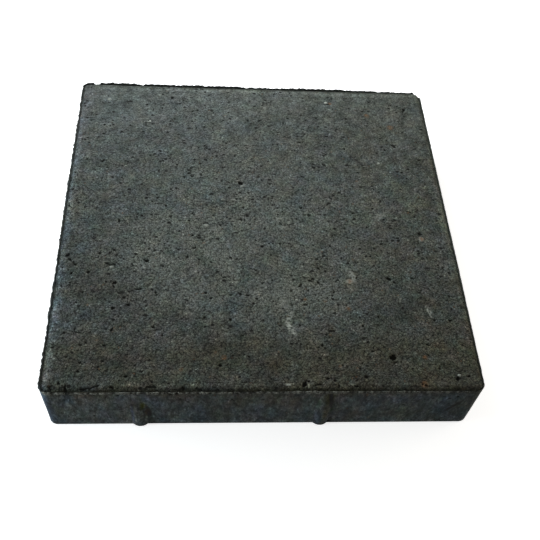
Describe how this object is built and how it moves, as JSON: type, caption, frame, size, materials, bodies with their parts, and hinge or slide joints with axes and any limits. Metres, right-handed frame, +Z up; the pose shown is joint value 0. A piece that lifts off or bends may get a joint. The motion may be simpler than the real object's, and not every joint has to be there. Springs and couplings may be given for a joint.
{
  "type": "concrete paving slab",
  "caption": "Square dark grey concrete paving slab with a chamfered wearing face and spacer nibs on its sides, laid on a bed to pave paths and terraces.",
  "frame": {"origin": "under the middle of the slab, on the plane of its bed face", "axes": "+Z up through the wearing face, -Y out of the side with the broken nib, X along that side"},
  "size_m": [0.302, 0.302, 0.05],
  "materials": {
    "concrete": "dry pressed concrete, fine sandy grain with small open pores, matt"
  },
  "bodies": {
    "root": {"slab": "concrete"}
  },
  "joints": []
}
